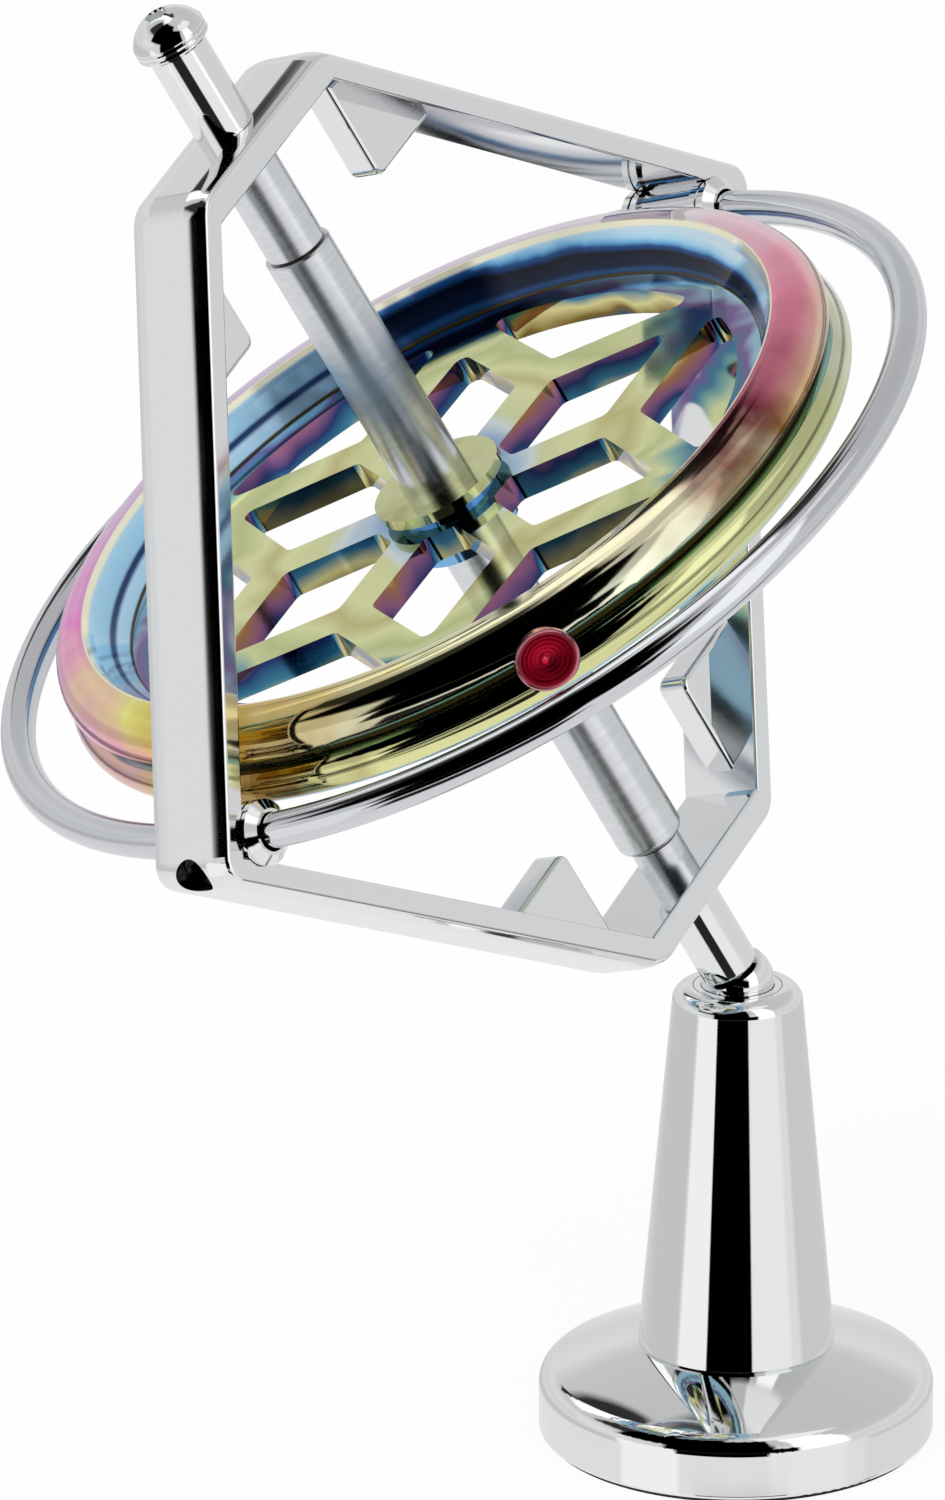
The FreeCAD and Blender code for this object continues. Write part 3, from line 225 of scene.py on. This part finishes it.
    # Zones are laid over each other, from the web outwards.
    steep = between(tree, upward, -0.4, 0.4, 0.05)
    inside = add(tree, "Math", [radius, WALL_RADIUS - 0.05], operation="LESS_THAN")
    outside = add(tree, "Math", [inside, -1.0, 1.0], operation="MULTIPLY_ADD")
    wall_zone = between(tree, radius, WALL_RADIUS, LIP_RADIUS, 0.02)
    over_hub = add(tree, "Math", [radius, HUB_RADIUS + 0.05], operation="LESS_THAN")
    over_flange = add(tree, "Math", [height, FLANGE_UNDER - 0.05], operation="GREATER_THAN")
    over_lip = add(tree, "Math", [radius, LIP_RADIUS], operation="GREATER_THAN")
    # A pale line along the lip, a painted highlight.
    lip_highlight = between(tree, radius, LIP_RADIUS - 0.22, LIP_RADIUS + 0.12, 0.1)
    # A dark band in the groove between the beads, a painted shade.
    groove_shade = between(tree, height, GROOVE_LOW + 0.12, GROOVE_HIGH - 0.05, 0.1)
    downward = add(tree, "MapRange", [upward, -0.5, -0.7, 0.0, 1.0])
    # Faces that point up take the tops' colours and the others the sides': a painted reflection.
    top_reflection_share = add(tree, "MapRange", [upward, 0.25, 0.85, 0.0, 1.0])
    mid_groove = (GROOVE_LOW + GROOVE_HIGH) / 2
    above_groove = add(tree, "Math", [height, mid_groove], operation="GREATER_THAN")
    beads = add(tree, "Mix", {0: top_reflection_share, 6: bead_side_film_and_reflection, 7: bead_top_film_and_reflection}, out=2, data_type="RGBA")
    beads = add(tree, "Mix", {0: above_groove, 6: lower_bead_film_and_reflection, 7: beads}, out=2, data_type="RGBA")
    colour = web
    for side, zone, tone in (
        (inside, steep, cut),
        (over_hub, steep, linear("#80B8E4")),
        (over_hub, over_flange, flange),
        (outside, wall_zone, wall),
        (outside, over_lip, beads),
        # The lip's pale line is a painted highlight.
        (outside, lip_highlight, linear("#FBF7DC")),
        # The groove's dark band is a painted shade.
        (outside, groove_shade, linear("#3C3418")),
        (outside, downward, web),
    ):
        mask = add(tree, "Math", [side, zone], operation="MULTIPLY")
        colour = add(tree, "Mix", {0: mask, 6: colour, 7: tone}, out=2, data_type="RGBA")
    # The film lies thickest inside the rim, and there it shows some colour of its own.
    shader = add(tree, "BsdfPrincipled", {
        "Base Color": colour,
        "Metallic": add(tree, "Math", [wall_zone, -0.55, 1.0], operation="MULTIPLY_ADD"),
        "Roughness": add(tree, "MapRange", [clouds, 0.3, 0.7, 0.05, 0.09]),
        "Normal": add(tree, "Bump", {"Height": clouds, "Strength": 0.008, "Distance": 0.1 * MM}),
    })
    add(tree, "OutputMaterial", [shader])
    return material


def crimson_stud_and_highlight():
    """Crimson dyed aluminium, dished on a lathe and sealed: its tight rings catch the light, and
    its pale pink rim is a painted highlight.
    """
    material, tree = new_material("crimson_anodised_aluminium_and_highlight")
    place = own_axes(tree, add(tree, "TexCoord", out="Object"), FRAME_TURN + STUD_TURN)
    centred = add(tree, "VectorMath", [place, (0, 0, -STUD_HEIGHT)], operation="ADD")
    across = add(tree, "VectorMath", [centred, (0, 1, 1)], operation="MULTIPLY")
    from_middle = add(tree, "VectorMath", [across], out=1, operation="LENGTH")
    # The tool's feed leaves a ring every 0.3 mm.
    ring_pitch = 0.3
    turns = add(tree, "Math", [from_middle, 2 * math.pi / ring_pitch], operation="MULTIPLY")
    rings = add(tree, "Math", [turns], operation="SINE")
    outwards = add(tree, "Math", [from_middle, STUD_RADIUS], operation="DIVIDE")
    # Crimson that darkens outwards from a lighter middle, with pale pink at the rim: a painted
    # highlight.
    dye_and_rim_highlight = add(tree, "ValToRGB", [outwards], stops=[
        (0.0, "#E85068"), (0.12, "#C01838"), (0.5, "#A40E28"), (0.8, "#8C0A20"),
        (0.88, "#C04058"), (1.0, "#F0B0B8")])
    shader = add(tree, "BsdfPrincipled", {
        "Base Color": dye_and_rim_highlight,
        "Metallic": 1.0,
        "Roughness": add(tree, "MapRange", [rings, -1.0, 1.0, 0.14, 0.24]),
        "Normal": add(tree, "Bump", {"Height": rings, "Strength": 0.25, "Distance": 0.02 * MM}),
    })
    add(tree, "OutputMaterial", [shader])
    return material


def pad_rubber():
    """Black moulded rubber: matt, with a fine grain some 0.3 mm wide."""
    material, tree = new_material("moulded_rubber")
    place = add(tree, "TexCoord", out="Object")
    grain = add(tree, "TexNoise", {"Vector": place, "Scale": 1 / (0.3 * MM), "Detail": 3.0})
    shader = add(tree, "BsdfPrincipled", {
        "Base Color": add(tree, "ValToRGB", [grain], stops=[(0.3, "#1B1B1C"), (0.7, "#2B2B2D")]),
        "Roughness": 0.8,
        "Normal": add(tree, "Bump", {"Height": grain, "Strength": 0.4, "Distance": 0.05 * MM}),
    })
    add(tree, "OutputMaterial", [shader])
    return material


chrome = polished_metal("bright_chrome_plate", "#EDEEEE", 0.02, 0.05)
frame_plate = polished_metal("polished_aluminium_frame", "#ECEDEE", 0.05, 0.09)
black_steel = polished_metal("blacked_steel", "#2A2A2C", 0.12, 0.25)
ring_steel = polished_metal("polished_steel_ring", "#D6D8DC", 0.05, 0.1)
sleeve_alloy = turned_metal("satin_turned_aluminium", "#DADCE0", "#E4E6E9", 0.26, 0.3)
shaft_steel = turned_metal("ground_steel", "#B9BBBE", "#D2D3D5", 0.12, 0.2)
bronze = turned_metal("sintered_bronze", "#9A6A3A", "#C08A52", 0.35, 0.4)

FINISHES = {
    "foot": chrome,
    "foot_pad": pad_rubber(),
    "column": chrome,
    "column_screw": black_steel,
    "column_washer": shaft_steel,
    "seat_cup": chrome,
    "seat_ball": chrome,
    "gyro_frame": frame_plate,
    "guard_ring_front": ring_steel,
    "guard_ring_rear": ring_steel,
    "ring_collars": chrome,
    "corner_screws": black_steel,
    "upper_post": chrome,
    "upper_ball_head": chrome,
    "lower_post": chrome,
    "upper_bearing_tube": sleeve_alloy,
    "lower_bearing_stub": sleeve_alloy,
    "upper_bush": bronze,
    "lower_bush": bronze,
    "axle_shaft": shaft_steel,
    "upper_sleeve": sleeve_alloy,
    "lower_sleeve": sleeve_alloy,
    "flywheel": rainbow_film_and_painted_light(),
    "balance_studs": crimson_stud_and_highlight(),
}
for name, material in FINISHES.items():
    nodes[name].data.materials.clear()
    nodes[name].data.materials.append(material)


# ---------------------------------------------------------------- floor, light and camera

def studio_floor():
    """White paper. The lens sees it near white, and it keeps a soft shadow."""
    material, tree = new_material("white_paper")
    seen = add(tree, "LightPath", out="Is Camera Ray")
    whitened = 0.93
    share = add(tree, "Math", [seen, whitened], operation="MULTIPLY")
    paper = add(tree, "BsdfDiffuse", [linear("#F6F5F3")])
    white = add(tree, "Emission", [(1, 1, 1, 1), 1.0])
    add(tree, "OutputMaterial", [add(tree, "MixShader", [share, paper, white])])
    bpy.ops.mesh.primitive_plane_add(size=6)
    floor = bpy.context.object
    floor.name = "studio_floor"
    floor.data.materials.append(material)
    floor.visible_glossy = False


# Softboxes and black cards about the object, as metal sees them. Each has its azimuth from and
# to, its elevation from and to, and the width of its soft edge, all in degrees, and then its
# brightness. A later card hides an earlier one.
CARDS = (
    (-75, -42, -6, 60, 4, 1.25),
    (-90, -42, -24, -6, 4, 0.92),
    (-90, 0, 60, 76, 4, 0.95),
    (-180, -143, -50, -3, 3, 1.0),
    (107, 134, 34, 80, 5, 1.25),
    (134, 172, 66, 80, 4, 1.1),
    (148, 188, 2, 14, 4, 0.82),
    (-28, 62, -22, -9, 6, 0.66),
    (80, 178, -20, -6, 6, 0.62),
    (-24, -12, -50, -25, 4, 0.3),
    (80, 106, 60, 76, 4, 0.06),
    (96, 106, 28, 62, 2, 0.03),
    (150, 184, 31, 64, 5, 0.03),
    (-183, -118, 16, 73, 4, 0.0),
    (-151, -87, -3, 59, 3, 0.0),
    (-90, -73, -7, 14, 3, 0.0),
    (-144, -91, -19.8, -2, 1.5, 0.0),
    (-134, -78, -42, -23.8, 1.5, 0.02),
)


def studio_world():
    """White room with softboxes and black cards. The lens sees plain white."""
    world = bpy.data.worlds.new("white_room")
    bpy.context.scene.world = world
    world.use_nodes = True
    tree = world.node_tree
    tree.nodes.clear()
    _, rise, azimuth = polar(tree, add(tree, "TexCoord", out="Generated"))
    rise_angle = add(tree, "Math", [rise], operation="ARCSINE")
    elevation = add(tree, "Math", [rise_angle, 180 / math.pi], operation="MULTIPLY")
    # From straight down at 0, through level at 0.5, to straight up at 1.
    up_room = add(tree, "Math", [elevation, 1 / 180, 0.5], operation="MULTIPLY_ADD")
    room = add(tree, "ValToRGB", [up_room], stops=[
        (0.0, "#F4F4F4"), (0.3, "#F0F0F0"), (0.44, "#E8E8E8"), (0.5, "#E0E1E2"),
        (0.535, "#DCDDDE"), (0.61, "#E6E6E7"), (0.66, "#D0D1D2"), (0.8, "#CACACA"),
        (1.0, "#D0D0D0")])
    for low, high, bottom, top, soft, brightness in CARDS:
        away = add(tree, "Math", [azimuth, (low + high) / 2], operation="SUBTRACT")
        away = add(tree, "Math", [away, 180.0, -180.0], operation="WRAP")
        inside = add(tree, "Math", [
            between(tree, away, (low - high) / 2, (high - low) / 2, soft),
            between(tree, elevation, bottom, top, soft),
        ], operation="MULTIPLY")
        room = add(tree, "Mix", {0: inside, 6: room, 7: (brightness, brightness, brightness, 1)},
                   out=2, data_type="RGBA")
    for path, grey in (("Is Camera Ray", 1.0), ("Is Diffuse Ray", 0.6)):
        seen = add(tree, "LightPath", out=path)
        room = add(tree, "Mix", {0: seen, 6: room, 7: (grey, grey, grey, 1)},
                   out=2, data_type="RGBA")
    add(tree, "OutputWorld", [add(tree, "Background", [room, 1.0])])


def studio_lamp(name, place, aim, width, watts):
    """A square softbox. Metal mirrors the cards instead of it."""
    data = bpy.data.lights.new(name, "AREA")
    data.shape = "SQUARE"
    data.size = width
    data.energy = watts
    lamp = bpy.data.objects.new(name, data)
    bpy.context.scene.collection.objects.link(lamp)
    lamp.location = place
    lamp.rotation_euler = (Vector(aim) - Vector(place)).to_track_quat("-Z", "Y").to_euler()
    lamp.visible_glossy = False


def studio_camera(name, place, view, roll, focal_length):
    """A camera at place that looks along view, rolled by degrees. The focal length is in mm."""
    data = bpy.data.cameras.new(name)
    data.sensor_fit = "HORIZONTAL"
    data.sensor_width = 36.0
    data.lens = focal_length
    data.clip_start = 0.05
    lens = bpy.data.objects.new(name, data)
    bpy.context.scene.collection.objects.link(lens)
    view = Vector(view).normalized()
    level = view.cross(Vector((0, 0, 1))).normalized()
    upright = level.cross(view)
    roll = math.radians(roll)
    right = math.cos(roll) * level + math.sin(roll) * upright
    up = math.cos(roll) * upright - math.sin(roll) * level
    axes = Matrix((right, up, -view)).transposed().to_4x4()
    lens.matrix_world = Matrix.Translation(place) @ axes
    bpy.context.scene.camera = lens


studio_floor()
studio_world()
studio_lamp("key_lamp", place=(-0.5, -0.35, 0.8), aim=(0, 0, 0.04), width=0.5, watts=6.0)
# A long lens, looking some 19.5 degrees down on the object.
studio_camera("camera", place=(-0.25206, -0.71009, 0.31610), view=(0.2944, 0.8952, -0.3346),
              roll=-0.204, focal_length=460.2)
bpy.context.scene.view_settings.view_transform = "Standard"
